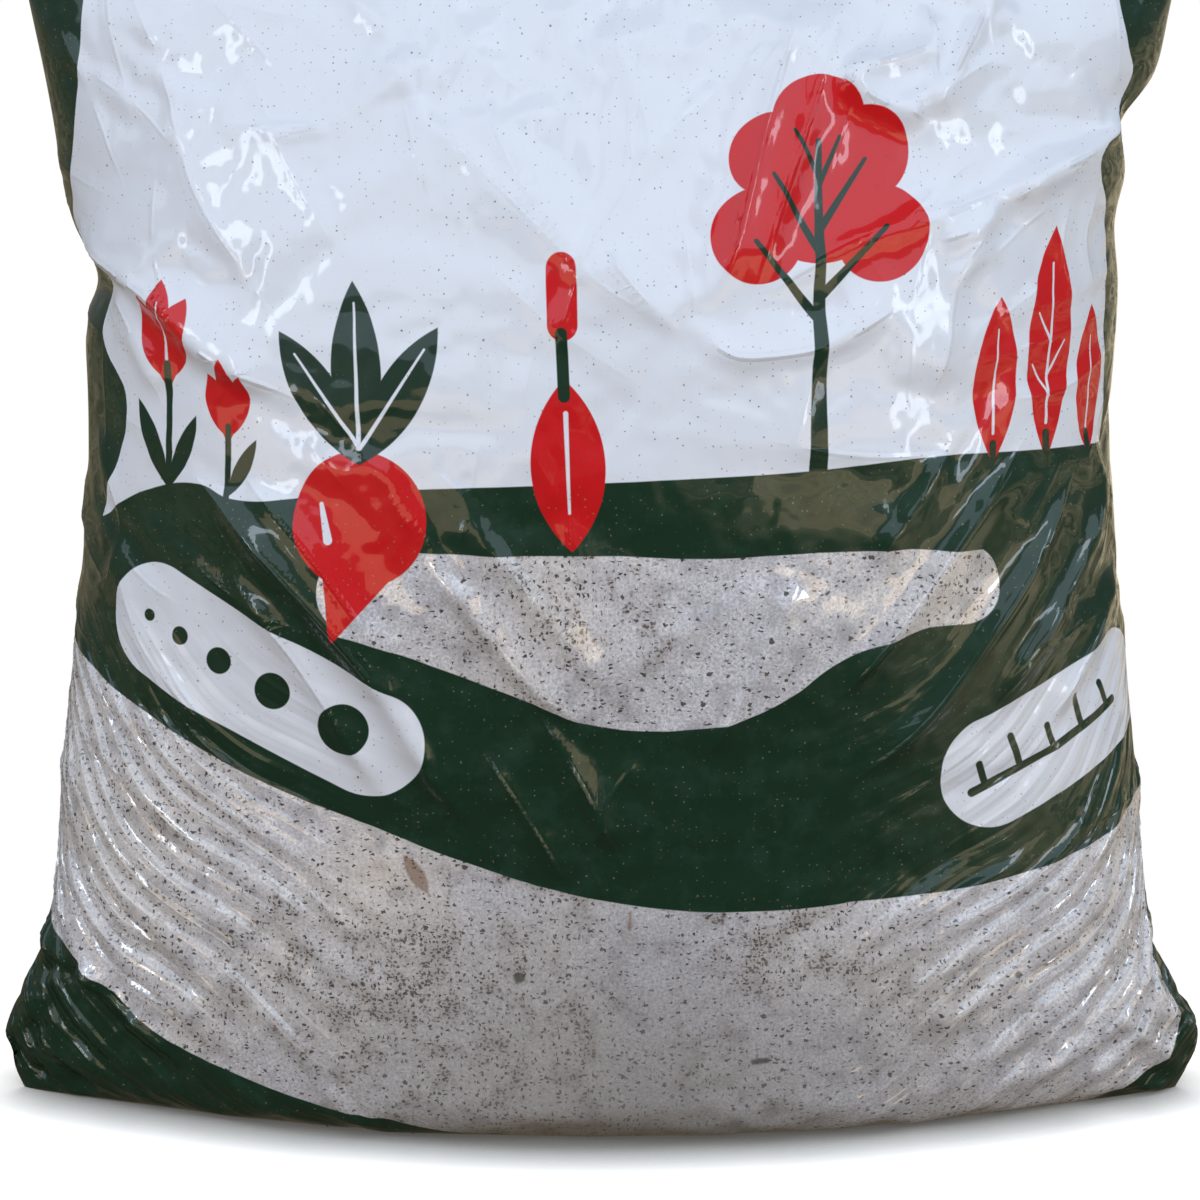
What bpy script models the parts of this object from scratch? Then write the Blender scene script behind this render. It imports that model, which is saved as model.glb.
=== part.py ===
"""A sealed 25 litre bag of volcanic tuff, standing on its base.

The bag is one tube of polyethylene film, welded shut across the bottom and the top. The film hardly
stretches, so its girth is the same at every level: where the tuff pushes it deep, it is narrow, and
where it runs flat towards the weld, it is wide. Metres, +Z up, front towards -Y.
"""

import math

import bmesh
import bpy
import numpy as np

# The film tube and its top weld
FILM_WIDTH = 0.486
WELD_HEIGHT = 0.016
WELD_THICKNESS = 0.0022
WELD_WAVE = 0.003

# Levels of the standing bag, each counted from the one below it
FLOOR_TO_BELLY = 0.110
BELLY_TO_WAIST = 0.200
WAIST_TO_SHOULDER = 0.110
SHOULDER_TO_WELD = 0.128

# Depth of the bag over its width at those levels
FLOOR_FULLNESS = 0.320
BELLY_FULLNESS = 0.365
WAIST_FULLNESS = 0.470
SHOULDER_FULLNESS = 0.300

# Share of the girth that gathers into small folds at the waist and the shoulder
WAIST_GATHER = 0.02
SHOULDER_GATHER = 0.03

# How the filled base turns up from the floor, and how its corners stand out
HEEL_RADIUS = 0.022
CORNER_REACH = 0.0225
CORNER_LEVEL = 0.021
CORNER_SPREAD = 0.031
TOP_LEAN = 0.014

# Film puckered at the sides just under the shoulder
TUCK_DEPTH = 0.009
TUCK_SPREAD = 0.016
LEFT_TUCK_LEVEL = 0.331
RIGHT_TUCK_LEVEL = 0.385

# Swags: curved folds that hang round each lower corner
SWAGS = 6
SWAG_DEPTH = 0.0050
SWAG_BREADTH = 0.0075

# How much of the front's creases the back has
BACK_CREASE_SHARE = 0.55

# Density of the mesh
FRONT_COLUMNS = 62
BACK_COLUMNS = 30
HEEL_ROWS = 5
LOWER_ROWS = 34
UPPER_ROWS = 22
OUTLINE_STEPS = 240

BELLY_LEVEL = FLOOR_TO_BELLY
WAIST_LEVEL = BELLY_LEVEL + BELLY_TO_WAIST
SHOULDER_LEVEL = WAIST_LEVEL + WAIST_TO_SHOULDER
WELD_LEVEL = SHOULDER_LEVEL + SHOULDER_TO_WELD
BAG_HEIGHT = WELD_LEVEL + WELD_HEIGHT


def crease_lines():
    """Start, bend and end of each crease as (across the film, level), its height and its breadth."""
    return (
        # slack film over the left waist, and the lip of the left tuck
        ((-0.185, 0.444), (-0.169, 0.403), (-0.121, 0.323), 0.0044, 0.0125),
        ((-0.224, 0.354), (-0.167, 0.322), (-0.115, 0.296), 0.0088, 0.0085),
        # the slack that hangs from the top corners in a V, and the roll at its foot
        ((-0.085, 0.440), (-0.047, 0.360), (0.030, 0.320), 0.0055, 0.0190),
        ((0.077, 0.444), (0.054, 0.361), (0.036, 0.322), 0.0060, 0.0085),
        ((0.094, 0.444), (0.075, 0.386), (0.055, 0.331), 0.0044, 0.0085),
        ((0.035, 0.322), (0.037, 0.296), (0.113, 0.330), 0.0039, 0.0085),
        # the small flap near the top right
        ((0.085, 0.410), (0.099, 0.397), (0.123, 0.392), 0.0066, 0.0085),
        ((0.123, 0.392), (0.132, 0.411), (0.152, 0.444), 0.0060, 0.0085),
        # the lip of the right tuck, and what runs in from it
        ((0.219, 0.398), (0.186, 0.374), (0.151, 0.360), 0.0099, 0.0085),
        ((0.176, 0.375), (0.110, 0.358), (0.055, 0.331), 0.0039, 0.0085),
        ((0.147, 0.357), (0.127, 0.322), (0.123, 0.293), 0.0039, 0.0095),
        # long creases down the belly, left and right
        ((-0.153, 0.262), (-0.085, 0.213), (-0.043, 0.129), 0.0072, 0.0085),
        ((-0.063, 0.241), (-0.036, 0.204), (-0.004, 0.175), 0.0029, 0.0085),
        ((0.164, 0.276), (0.138, 0.245), (0.086, 0.182), 0.0042, 0.0085),
        ((0.190, 0.262), (0.152, 0.204), (0.093, 0.150), 0.0050, 0.0085),
        ((0.213, 0.256), (0.183, 0.216), (0.149, 0.175), 0.0042, 0.0085),
    )


def swag_lines():
    """The swags of both lower corners: each side's highest and lowest swag, and those between."""
    highest = np.array(((0.228, 0.188), (0.185, 0.140), (0.105, 0.108)))
    lowest = np.array(((0.240, 0.060), (0.215, 0.028), (0.145, 0.016)))
    lines = []
    for side in (-1, 1):
        for share in np.linspace(0, 1, SWAGS):
            across, up = (highest * (1 - share) + lowest * share).T
            lines.append((*zip(side * across, up), SWAG_DEPTH, SWAG_BREADTH))
    return lines


def through_levels(values, level):
    """A smooth curve through one value for each level of the bag."""
    levels = np.array((0, BELLY_LEVEL, WAIST_LEVEL, SHOULDER_LEVEL, WELD_LEVEL))
    values = np.array(values)
    slopes = np.gradient(values, levels)
    slopes[0] = 0
    k = np.clip(np.searchsorted(levels, level, side="right") - 1, 0, len(levels) - 2)
    span = levels[k + 1] - levels[k]
    t = np.clip((level - levels[k]) / span, 0, 1)
    rise = t * t * (3 - 2 * t)
    return (
        values[k] * (1 - rise)
        + values[k + 1] * rise
        + span * slopes[k] * t * (1 - t) ** 2
        - span * slopes[k + 1] * t * t * (1 - t)
    )


def half_sizes(level):
    """Half the width and half the depth of the filled tube at a level, for the film's one girth."""
    weld = WELD_THICKNESS / FILM_WIDTH
    stations = (FLOOR_FULLNESS, BELLY_FULLNESS, WAIST_FULLNESS, SHOULDER_FULLNESS, weld)
    fullness = max(float(through_levels(stations, level)), weld)
    gathered = float(through_levels((0, 0, WAIST_GATHER, SHOULDER_GATHER, 0), level))
    ring = 3 * (1 + fullness) - math.sqrt((3 + fullness) * (1 + 3 * fullness))
    half_width = 2 * FILM_WIDTH * (1 - gathered) / (math.pi * ring)
    return half_width, half_width * fullness


def outline(level):
    """The front half of the tube's outline at a level, from the left crease to the right one."""
    half_width, half_depth = half_sizes(level)
    below = np.clip(1 - level / HEEL_RADIUS, 0, 1)
    inset = HEEL_RADIUS * (1 - math.sqrt(1 - below**2))
    corner = 1 / (1 + ((level - CORNER_LEVEL) / CORNER_SPREAD) ** 2)
    near_weld = np.clip((level - SHOULDER_LEVEL) / (WELD_LEVEL - SHOULDER_LEVEL), 0, 1)
    pointed = 0.5 + 0.28 * corner + 0.35 * math.sin(math.pi * near_weld) ** 2
    pointed -= 0.42 * near_weld**6
    angle = np.linspace(0, math.pi, OUTLINE_STEPS + 1)
    tip = np.cos(angle)
    across = -(half_width - inset) * tip
    across -= np.sign(tip) * (CORNER_REACH * corner + inset) * np.abs(tip) ** 9
    forward = (half_depth - inset) * np.clip(np.sin(angle), 0, 1) ** (2 * pointed)
    return across, forward


def on_outline(level, girth_share):
    """Where a share of the girth lies on the outline: 0 to 1 along the front, 1 to 2 round the back."""
    across, forward = outline(level)
    steps = np.hypot(np.diff(across), np.diff(forward))
    along = np.concatenate(((0,), np.cumsum(steps)))
    front = girth_share <= 1
    share = np.where(front, girth_share, 2 - girth_share) * along[-1]
    x = np.interp(share, along, across)
    depth = np.maximum(np.interp(share, along, forward), WELD_THICKNESS / 2)
    depth = np.where(np.isin(girth_share, (0, 1, 2)), 0, depth)
    return x, np.where(front, -depth, depth)


def fold_height(across, level):
    """How far the folds lift the film off its plain form at places on one level."""
    lift = np.zeros_like(across)
    for start, bend, end, height, breadth in (*crease_lines(), *swag_lines()):
        t = np.linspace(0, 1, 25)[:, None]
        path = (1 - t) ** 2 * np.array(start) + 2 * t * (1 - t) * np.array(bend)
        path = path + t * t * np.array(end)
        gap = np.hypot(across[:, None] - path[:, 0], level - path[:, 1])
        nearest = gap.argmin(axis=1)
        fade = np.sin(math.pi * np.clip(0.12 + 0.76 * t[nearest, 0], 0, 1)) ** 0.6
        lift += height * fade * np.exp(-((gap.min(axis=1) / breadth) ** 2))
    return lift


def folded(x, y, level, girth_share):
    """Moves one row of film out where it is creased, and in at the side tucks."""
    front = girth_share <= 1
    across = np.where(front, girth_share - 0.5, 1.5 - girth_share) * FILM_WIDTH
    lift = fold_height(across, level) * np.where(front, 1, BACK_CREASE_SHARE)
    tuck_level = np.where(x < 0, LEFT_TUCK_LEVEL, RIGHT_TUCK_LEVEL)
    tuck = TUCK_DEPTH * np.exp(-(((level - tuck_level) / TUCK_SPREAD) ** 2))
    half_width, half_depth = half_sizes(level)
    side = np.clip(np.abs(x) / half_width, 0, 1) ** 6
    settled = np.clip(level / HEEL_RADIUS, 0, 1) * np.clip((WELD_LEVEL - level) / HEEL_RADIUS, 0, 1)
    out_x = x / half_width**2
    out_y = y / half_depth**2
    length = np.hypot(out_x, out_y)
    shift = lift * settled
    x = x + shift * out_x / length - np.sign(x) * tuck * side * settled
    y = y + shift * out_y / length
    return x, y


def row_levels():
    """Levels of the mesh's rows: close together round the heel and the swags, wider above."""
    turn = np.linspace(0, math.pi / 2, HEEL_ROWS + 1)
    heel = HEEL_RADIUS * (1 - np.cos(turn))
    lower = np.linspace(HEEL_RADIUS, WAIST_LEVEL, LOWER_ROWS + 1)[1:]
    upper = np.linspace(WAIST_LEVEL, WELD_LEVEL, UPPER_ROWS + 1)[1:]
    return np.concatenate((heel, lower, upper, (BAG_HEIGHT,)))


def set_on_floor(mesh):
    """Centres the bag on the origin, left to right and front to back."""
    points = np.array([vertex.co for vertex in mesh.verts])
    middle = (points.min(axis=0) + points.max(axis=0)) / 2
    bmesh.ops.translate(mesh, verts=mesh.verts, vec=(-middle[0], -middle[1], 0))


def film_bag():
    """The filled bag: a flat grid of film, wrapped round the tuff and closed at base and weld."""
    levels = row_levels()
    columns = FRONT_COLUMNS + BACK_COLUMNS
    bag = bmesh.new()
    bmesh.ops.create_grid(bag, x_segments=columns, y_segments=len(levels) - 1, size=0.5)
    rows = {row: [] for row in range(len(levels))}
    for vertex in bag.verts:
        row = round((vertex.co.y + 0.5) * (len(levels) - 1))
        rows[row].append((vertex, round((vertex.co.x + 0.5) * columns)))
    for level, row in zip(levels, rows.values()):
        column = np.array([place for _, place in row])
        share = np.where(
            column <= FRONT_COLUMNS,
            column / FRONT_COLUMNS,
            1 + (column - FRONT_COLUMNS) / BACK_COLUMNS,
        )
        x, y = on_outline(min(level, WELD_LEVEL), share)
        x, y = folded(x, y, level, share)
        y = y + TOP_LEAN * (level / BAG_HEIGHT) ** 2
        flat = np.clip((level - SHOULDER_LEVEL) / SHOULDER_TO_WELD, 0, 1) ** 2
        y = y + WELD_WAVE * flat * np.sin(3 * math.pi * x / FILM_WIDTH)
        for (vertex, _), new_x, new_y in zip(row, x, y):
            vertex.co = (new_x, new_y, level)
    bmesh.ops.remove_doubles(bag, verts=bag.verts, dist=0.00005)
    rims = [edge for edge in bag.edges if edge.is_boundary]
    bmesh.ops.holes_fill(bag, edges=rims, sides=0)
    bmesh.ops.recalc_face_normals(bag, faces=bag.faces)
    if bag.calc_volume(signed=True) < 0:
        bmesh.ops.reverse_faces(bag, faces=bag.faces)
    set_on_floor(bag)
    return bag


def glossy_film():
    """White printed polyethylene."""
    material = bpy.data.materials.new("printed_film")
    material.use_nodes = True
    shader = material.node_tree.nodes["Principled BSDF"]
    shader.inputs["Base Color"].default_value = (0.80, 0.83, 0.89, 1)
    shader.inputs["Roughness"].default_value = 0.28
    shader.inputs["Metallic"].default_value = 0.0
    material.diffuse_color = (0.80, 0.83, 0.89, 1)
    return material


def clear_scene():
    for item in list(bpy.data.objects):
        bpy.data.objects.remove(item)


def main():
    clear_scene()
    collection = bpy.data.collections.new("tuff_bag")
    bpy.context.scene.collection.children.link(collection)
    mesh = bpy.data.meshes.new("tuff_bag")
    bag = film_bag()
    bag.to_mesh(mesh)
    bag.free()
    mesh.materials.append(glossy_film())
    mesh.shade_smooth()
    collection.objects.link(bpy.data.objects.new("tuff_bag", mesh))


main()
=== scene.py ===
"""Looks of a 25 litre bag of volcanic tuff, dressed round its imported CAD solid."""

import math

import bpy
import mathutils
import numpy as np
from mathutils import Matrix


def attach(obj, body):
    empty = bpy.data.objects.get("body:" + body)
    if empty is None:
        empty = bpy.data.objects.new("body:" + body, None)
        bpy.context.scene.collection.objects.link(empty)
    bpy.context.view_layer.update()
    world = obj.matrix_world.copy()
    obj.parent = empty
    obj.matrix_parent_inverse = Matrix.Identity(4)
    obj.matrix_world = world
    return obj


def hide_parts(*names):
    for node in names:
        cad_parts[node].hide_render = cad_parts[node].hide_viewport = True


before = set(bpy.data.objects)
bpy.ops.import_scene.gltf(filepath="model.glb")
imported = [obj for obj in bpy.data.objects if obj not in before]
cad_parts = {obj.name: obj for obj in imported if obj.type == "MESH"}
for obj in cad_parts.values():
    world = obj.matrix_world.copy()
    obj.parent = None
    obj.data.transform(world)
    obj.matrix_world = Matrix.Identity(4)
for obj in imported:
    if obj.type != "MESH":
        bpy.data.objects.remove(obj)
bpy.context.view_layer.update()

# The film. One tube of glossy polyethylene, welded across the bottom and the top, with the tuff's
# weight pushing it deep and narrow below and letting it run flat and wide towards the top weld.
# The tube is laid out as a grid of true film distances, so folds and print share one flat pattern.
FILM_WIDTH = 0.486
WELD_THICKNESS = 0.0012
HEEL_RADIUS = 0.022
BAG_HEIGHT = 0.564
TOP_LEAN = 0.014
CORNER_REACH = 0.0225
CORNER_LEVEL = 0.021
CORNER_SPREAD = 0.031
STATIONS = np.array((0, 0.110, 0.310, 0.420, 0.548))
FULLNESS = (0.320, 0.365, 0.470, 0.300, WELD_THICKNESS / FILM_WIDTH)
GATHERED = (0, 0, 0.02, 0.03, 0)
SHOULDER, WELD_LEVEL = STATIONS[3:]


def at_level(values, level):
    """A smooth curve through one value for each station of the bag."""
    slopes = np.gradient(values, STATIONS)
    slopes[0] = 0
    k = int(np.clip(np.searchsorted(STATIONS, level, side="right") - 1, 0, 3))
    span = STATIONS[k + 1] - STATIONS[k]
    t = np.clip((level - STATIONS[k]) / span, 0, 1)
    rise = t * t * (3 - 2 * t)
    value = values[k] * (1 - rise) + values[k + 1] * rise
    return float(value + span * t * (1 - t) * (slopes[k] * (1 - t) - slopes[k + 1] * t))


def tube_row(level, share):
    """One level of the filled tube: share runs 0 to 1 along the front, and on to 2 round the back."""
    level_here = min(level, WELD_LEVEL)
    fullness = max(at_level(FULLNESS, level_here), FULLNESS[-1])
    ring = 3 * (1 + fullness) - math.sqrt((3 + fullness) * (1 + 3 * fullness))
    half_width = 2 * FILM_WIDTH / (math.pi * ring) * (1 - at_level(GATHERED, level_here))
    below = max(1 - level_here / HEEL_RADIUS, 0)
    inset = HEEL_RADIUS * (1 - math.sqrt(1 - below**2))
    corner = 1 / (1 + ((level_here - CORNER_LEVEL) / CORNER_SPREAD) ** 2)
    to_weld = np.clip((level_here - SHOULDER) / (WELD_LEVEL - SHOULDER), 0, 1)
    pointed = 0.5 + 0.28 * corner + 0.35 * math.sin(math.pi * to_weld) ** 2 - 0.42 * to_weld**6
    tip = np.cos(np.linspace(0, math.pi, 601))
    across = -(half_width - inset) * tip
    across -= np.sign(tip) * (CORNER_REACH * corner + inset) * np.abs(tip) ** 9
    forward = (half_width * fullness - inset) * (1 - tip**2) ** pointed
    along = np.concatenate(((0,), np.cumsum(np.hypot(np.diff(across), np.diff(forward)))))
    front = share <= 1
    place = np.where(front, share, 2 - share) * along[-1]
    depth = np.maximum(np.interp(place, along, forward), WELD_THICKNESS / 2)
    depth = np.where(np.isin(share, (0, 1, 2)), 0, depth)
    lean = TOP_LEAN * (level / BAG_HEIGHT) ** 2
    return np.interp(place, along, across), np.where(front, -depth, depth) + lean


def film_rows(heel_rows, film_rows_above, weld_rows):
    """Levels of the grid's rows."""
    turn = np.linspace(0, math.pi / 2, heel_rows + 1)
    heel = HEEL_RADIUS * (1 - np.cos(turn))
    above = np.linspace(HEEL_RADIUS, WELD_LEVEL, film_rows_above + 1)[1:]
    weld = np.linspace(WELD_LEVEL, BAG_HEIGHT, weld_rows + 1)[1:]
    return np.concatenate((heel, above, weld))


def plain_film(levels, front_columns, back_columns):
    """The unfolded bag as a grid of points, with each column's and row's place on the flat film."""
    share = np.linspace(0, 1, front_columns + 1)
    share = np.concatenate((share, np.linspace(1, 2, back_columns + 1)[1:-1]))
    points = np.empty((len(levels), len(share), 3))
    for row, level in enumerate(levels):
        points[row, :, 0], points[row, :, 1] = tube_row(level, share)
        points[row, :, 2] = level
    middle = front_columns // 2
    climb = np.hypot(np.diff(points[:, middle, 1]), np.diff(points[:, middle, 2]))
    up = np.concatenate(((0,), np.cumsum(climb)))
    return points, (share - 0.5) * FILM_WIDTH, up


def outward(points):
    """Which way the film faces at each point of a grid."""
    around = np.roll(points, -1, axis=1) - np.roll(points, 1, axis=1)
    upward = np.gradient(points, axis=0)
    facing = np.cross(around, upward)
    return facing / np.maximum(np.linalg.norm(facing, axis=2, keepdims=True), 1e-12)


# Folds. The film can't stretch, so it gathers where the bag narrows: tucks at the waist, slack
# hanging from the top in a V, long creases across the band, and swags round both lower corners.
# Each is a path over the flat film in millimetres, then its height and its breadth on both sides.
SLACK_FOLDS = (
    (((-185, 464), (-173, 445), (-164, 422), (-158, 399), (-149, 377), (-121, 337)), 4.0, 16, 9),
    (((-224, 369), (-191, 351), (-168, 338), (-144, 321), (-115, 310)), 8.0, 14, 1.6),
    (((-204, 343), (-189, 331), (-179, 317), (-172, 304)), 3.0, 6, 4),
    (((-85, 460), (-69, 419), (-37, 386), (-2, 353), (30, 334)), 5.0, 26, 12),
    (((0, 365), (15, 347), (29, 334)), 2.5, 5, 3),
    (((77, 464), (61, 409), (50, 368), (36, 336)), 5.5, 9, 5),
    (((94, 464), (82, 426), (67, 382), (55, 345)), 4.0, 7, 9),
    (((35, 336), (44, 328), (55, 325), (84, 329), (113, 344)), 3.5, 9, 3),
    (((85, 428), (101, 417), (123, 409)), 6.0, 9, 1.6),
    (((85, 428), (105, 431), (123, 439), (120, 456)), 4.5, 4, 5),
    (((123, 409), (129, 422), (141, 445), (152, 464)), 5.5, 5, 8),
    (((123, 439), (124, 424), (123, 410)), 3.0, 3, 3),
    (((219, 416), (200, 398), (171, 388), (151, 376)), 9.0, 14, 1.8),
    (((176, 391), (133, 376), (93, 365), (55, 345)), 3.5, 10, 5),
    (((147, 373), (133, 350), (129, 325), (123, 307)), 3.5, 5, 14),
    (((151, 376), (137, 368), (125, 365)), 3.0, 4, 3),
    (((199, 382), (195, 362), (201, 340)), 1.8, 3, 3),
    (((184, 379), (182, 359), (190, 337)), 1.3, 3, 3),
    (((0, 449), (15, 416), (19, 386)), 1.6, 10, 6),
    (((-133, 433), (-117, 396), (-97, 362)), 1.5, 10, 8),
    (((-44, 360), (-15, 335), (18, 314)), 1.5, 8, 8),
    (((97, 362), (113, 334), (115, 307)), 1.6, 9, 6),
)
BAND_FOLDS = (
    (((-153, 276), (-129, 255), (-101, 228), (-82, 206), (-64, 176), (-43, 141)), 7.4, 10, 1.5),
    (((-136, 281), (-113, 260), (-94, 238), (-75, 212)), 3.0, 5, 5),
    (((-63, 255), (-45, 232), (-26, 207), (-4, 188)), 5.0, 7, 3),
    (((-49, 273), (-37, 255), (-15, 228), (7, 201)), 4.4, 6, 6),
    (((-24, 197), (-6, 165), (7, 137)), 4.2, 6, 4),
    (((-44, 182), (-28, 155), (-11, 125)), 3.4, 6, 4),
    (((164, 290), (149, 272), (132, 251), (106, 218), (86, 195)), 5.1, 7, 4),
    (((190, 276), (167, 244), (147, 219), (122, 189), (93, 163)), 6.1, 6, 4),
    (((132, 289), (115, 267), (101, 249)), 3.5, 5, 4),
    (((213, 269), (194, 242), (172, 216), (149, 188)), 5.1, 5, 4),
    (((222, 236), (198, 208), (174, 180)), 3.5, 4, 4),
    (((205, 290), (211, 262), (201, 231)), 2.2, 3, 3),
    (((74, 250), (63, 220), (38, 173)), 3.4, 7, 7),
    (((-197, 248), (-179, 211), (-142, 175)), 2.7, 6, 6),
    (((-214, 292), (-194, 256), (-202, 224)), 2.2, 4, 4),
    (((-142, 246), (-114, 213), (-94, 183), (-79, 159)), 3.8, 6, 4),
)
CORNER_FOLDS = (
    (((-225, 203), (-206, 193), (-179, 177), (-145, 154), (-111, 133)), 1.9, 4, 3),
    (((-232, 183), (-198, 164), (-171, 146), (-144, 127), (-115, 112), (-92, 104)), 2.2, 4, 3),
    (((-232, 165), (-204, 142), (-179, 121), (-150, 105), (-119, 89)), 2.2, 4, 3),
    (((-229, 147), (-208, 126), (-184, 105), (-157, 85), (-131, 68)), 2.3, 4, 3),
    (((-232, 128), (-215, 107), (-195, 86), (-170, 69), (-145, 54)), 2.2, 4, 3),
    (((-242, 108), (-221, 91), (-201, 72), (-178, 54), (-151, 41)), 2.2, 4, 3),
    (((-242, 91), (-228, 74), (-206, 52), (-186, 38), (-159, 31)), 2.2, 4, 3),
    (((-242, 70), (-229, 52), (-211, 36), (-192, 26)), 2.2, 4, 3),
    (((-144, 157), (-131, 145), (-115, 135), (-91, 118), (-68, 106)), 1.7, 3.4, 2.6),
    (((-131, 115), (-115, 104), (-98, 89), (-76, 80)), 1.3, 3, 2.5),
    (((-115, 121), (-97, 108), (-78, 101), (-61, 91)), 1.1, 3, 2.5),
    (((-124, 87), (-104, 76), (-81, 70)), 1.0, 3, 2.5),
    (((218, 141), (196, 123), (170, 105), (140, 89), (107, 78)), 2.2, 3, 4),
    (((225, 121), (199, 102), (170, 83), (140, 68), (111, 58)), 2.3, 3, 4),
    (((227, 105), (208, 83), (184, 64), (153, 48), (121, 40)), 2.3, 3, 4),
    (((228, 87), (216, 64), (195, 45), (170, 36), (138, 31)), 2.3, 3, 4),
    (((240, 67), (222, 47), (201, 33), (178, 26)), 2.2, 3, 4),
    (((238, 50), (228, 32), (213, 24)), 2.2, 3, 4),
    (((201, 141), (174, 123), (144, 107), (113, 94), (89, 83)), 2.0, 3, 4),
    (((172, 133), (141, 118), (115, 107), (92, 96)), 1.6, 3, 3.5),
    (((139, 120), (115, 110), (93, 104)), 1.1, 3, 3.5),
    (((217, 165), (201, 143), (183, 130)), 1.6, 3, 3.5),
)
EAR_PATHS = (
    ((-240, 20), (-222, 34), (-204, 55)), ((-241, 34), (-231, 52), (-222, 74)),
    ((-238, 12), (-214, 17), (-190, 19)), ((-242, 52), (-238, 70), (-236, 92)),
    ((-226, 22), (-216, 30), (-209, 42)),
)
EAR_FOLDS = tuple(
    (tuple((side * across, up) for across, up in path), height, *(breadths[::-side]))
    for side, heights in ((-1, (3.2, 3, 2.6, 2.2, -2)), (1, (0.5, 1.6, 0.5, 2, -0.8)))
    for path, height, breadths in zip(EAR_PATHS, heights, ((2, 4), (4, 2), (3, 3), (2, 4), (3, 3)))
)
CREST = 0.002
CREST_PER_HEIGHT = 0.4
NARROWEST = 0.0036
NARROWEST_PER_HEIGHT = 0.68
FADE = 0.22
BACK_SOFTNESS = 0.55


def smooth_path(knots, step=0.003):
    """Points close together along a smooth curve through the knots."""
    knots = np.array(knots, float) / 1000
    ends = np.vstack((2 * knots[0] - knots[1], knots, 2 * knots[-1] - knots[-2]))
    path = [knots[0]]
    for a, b, c, d in zip(ends, ends[1:], ends[2:], ends[3:]):
        count = max(int(np.linalg.norm(c - b) / step), 2)
        t = np.linspace(0, 1, count + 1)[1:, None]
        bend = (c - a) * t + (2 * a - 5 * b + 4 * c - d) * t**2 + (3 * b - a - 3 * c + d) * t**3
        path.extend(b + bend / 2)
    return np.array(path)


def beside(path, place):
    """The signed gap from each place to a path, and the share of the path that lies before it."""
    best = np.full(len(place), np.inf)
    side = np.zeros(len(place))
    share = np.zeros(len(place))
    steps = np.diff(path, axis=0)
    for number, (start, step) in enumerate(zip(path, steps)):
        from_start = place - start
        t = np.clip(from_start @ step / (step @ step), 0, 1)
        gap = np.linalg.norm(from_start - t[:, None] * step, axis=1)
        closer = gap < best
        best = np.where(closer, gap, best)
        turn = step[0] * from_start[:, 1] - step[1] * from_start[:, 0]
        side = np.where(closer, turn, side)
        share = np.where(closer, (number + t) / len(steps), share)
    return np.where(side > 0, best, -best), share


def along_folds(across, up, folds, widest=None):
    """For each fold: the places near it, their signed gaps, its height there and its two breadths."""
    for knots, height, left, right in folds:
        path = smooth_path(knots)
        reach = 5 * max(left, right) / 1000 if widest is None else widest
        low, high = path.min(axis=0) - reach, path.max(axis=0) + reach
        near = (across > low[0]) & (across < high[0]) & (up > low[1]) & (up < high[1])
        if near.any():
            gap, share = beside(path, np.stack((across[near], up[near]), axis=1))
            fade = np.clip(np.minimum(share, 1 - share) / FADE, 0, 1)
            fade = 0.12 + 0.88 * fade * fade * (3 - 2 * fade)
            yield near, gap, height / 1000 * fade, left / 1000, right / 1000


def fold_lift(across, up, folds):
    """How far each place on the flat film is lifted by a table of folds."""
    lift = np.zeros(across.shape)
    for near, gap, height, left, right in along_folds(across, up, folds):
        narrowest = np.maximum(NARROWEST, NARROWEST_PER_HEIGHT * height)
        breadth = np.maximum(np.where(gap > 0, left, right), narrowest)
        crest = np.maximum(CREST, CREST_PER_HEIGHT * height)
        lift[near] += height * np.exp(-(np.sqrt(gap**2 + crest**2) - crest) / breadth)
    return lift


def folded_film(points, across, up, tables):
    """Lifts a grid of film by its folds; the back carries the same folds, mirrored and softer."""
    columns, rows = np.meshgrid(across, up)
    front = columns <= FILM_WIDTH / 2 + 1e-9
    mirrored = np.where(front, columns, FILM_WIDTH - columns)
    lift = sum(fold_lift(mirrored, rows, table) for table in tables)
    lift = np.where(front, lift, BACK_SOFTNESS * lift)
    settled = np.clip(rows / 0.02, 0, 1) * np.clip((up[-1] - 0.017 - rows) / 0.03, 0, 1)
    return points + outward(points) * (lift * settled)[..., None]


def small_folds(count, seed, inner=(0, 0), lowest=25, highest=560, tallest=1.5, longest=40):
    """Chance creases of the handled film; they run inwards and down, as the slack does."""
    chance = np.random.default_rng(seed)
    table = []
    while len(table) < count:
        across, up = chance.uniform(-239, 239), chance.uniform(lowest, highest)
        if -inner[0] < across < inner[1]:
            continue
        if chance.random() > min(1, 0.25 + abs(across) / 240 + max(up - 280, 0) / 200):
            continue
        slant = -0.9 * math.copysign(min(1, abs(across) / 90), across) + chance.normal(0, 0.45)
        length = chance.uniform(0.3, 1) * longest
        bow = chance.normal(0, 0.12) * length
        step = np.array((math.sin(slant), -math.cos(slant))) * length
        side = np.array((-step[1], step[0])) / length * bow
        middle = np.array((across, up))
        knots = [tuple(point) for point in (middle - step, middle + side, middle + step)]
        sharp, broad = chance.uniform(1.2, 2.6), chance.uniform(0.1, 0.3) * longest
        breadths = (sharp, broad) if chance.random() < 0.5 else (broad, sharp)
        table.append((knots, chance.uniform(0.27, 1) * tallest * chance.choice((1, 1, -1)), *breadths))
    return table


TUCKS = ((-1, 0.331, 0.015, 0.008), (1, 0.388, 0.014, 0.010), (1, 0.356, 0.022, 0.006))


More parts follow.
